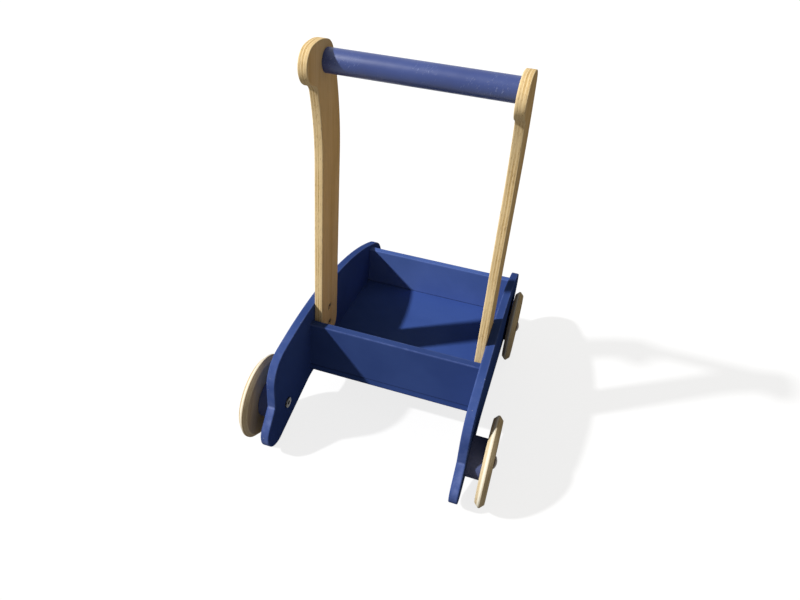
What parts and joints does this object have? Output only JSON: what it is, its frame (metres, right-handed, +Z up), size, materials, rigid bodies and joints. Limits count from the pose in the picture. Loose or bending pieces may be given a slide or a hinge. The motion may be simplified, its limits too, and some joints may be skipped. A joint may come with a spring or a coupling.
{
  "type": "baby push walker",
  "caption": "Wooden push walker: an open cargo box between shaped side panels, on free-turning wheels, with plywood posts that carry a round push bar at a toddler's hand height.",
  "frame": {"origin": "on the ground under the middle of the walker's overall length and width, with all wheels standing on z = 0", "axes": "+X to the walker's right, +Y forward, away from the child who pushes, +Z up"},
  "size_m": [0.321, 0.421, 0.4941],
  "materials": {
    "blue_paint": "semi-gloss opaque paint on board",
    "plywood": "clear lacquered birch plywood with bare ply edges",
    "beech": "raw",
    "nylon": "matte",
    "zinc_plated_steel": "bright zinc plate"
  },
  "bodies": {
    "walker_frame": {"left_side_panel": "blue_paint", "right_side_panel": "blue_paint", "rear_panel": "blue_paint", "front_panel": "blue_paint", "floor_board": "blue_paint", "handle_bar": "blue_paint", "rear_left_spacer": "blue_paint", "rear_right_spacer": "blue_paint", "front_left_spacer": "blue_paint", "front_right_spacer": "blue_paint", "left_handle_post": "plywood", "right_handle_post": "plywood", "rear_panel_dowels": "beech", "front_panel_dowels": "beech", "floor_board_dowels": "beech", "left_post_screws": "zinc_plated_steel", "right_post_screws": "zinc_plated_steel", "left_post_insert_nuts": "zinc_plated_steel", "right_post_insert_nuts": "zinc_plated_steel", "rear_left_axle_bolt": "zinc_plated_steel", "rear_right_axle_bolt": "zinc_plated_steel", "front_left_axle_bolt": "zinc_plated_steel", "front_right_axle_bolt": "zinc_plated_steel", "rear_left_axle_nut": "zinc_plated_steel", "rear_right_axle_nut": "zinc_plated_steel", "front_left_axle_insert_nut": "zinc_plated_steel", "front_right_axle_insert_nut": "zinc_plated_steel"},
    "rear_left_wheel_unit": {"rear_left_wheel": "plywood", "rear_left_bush": "nylon"},
    "rear_right_wheel_unit": {"rear_right_wheel": "plywood", "rear_right_bush": "nylon"},
    "front_left_wheel_unit": {"front_left_wheel": "plywood", "front_left_bush": "nylon"},
    "front_right_wheel_unit": {"front_right_wheel": "plywood", "front_right_bush": "nylon"}
  },
  "joints": [
    {"name": "rear_left_wheel_spin", "type": "hinge", "parent": "walker_frame", "child": "rear_left_wheel_unit", "pos_m": [-0.1509, -0.1555, 0.055], "axis": [1, 0, 0], "continuous": true},
    {"name": "rear_right_wheel_spin", "type": "hinge", "parent": "walker_frame", "child": "rear_right_wheel_unit", "pos_m": [0.1509, -0.1555, 0.055], "axis": [1, 0, 0], "continuous": true},
    {"name": "front_left_wheel_spin", "type": "hinge", "parent": "walker_frame", "child": "front_left_wheel_unit", "pos_m": [-0.1359, 0.1275, 0.055], "axis": [1, 0, 0], "continuous": true},
    {"name": "front_right_wheel_spin", "type": "hinge", "parent": "walker_frame", "child": "front_right_wheel_unit", "pos_m": [0.1359, 0.1275, 0.055], "axis": [1, 0, 0], "continuous": true}
  ]
}
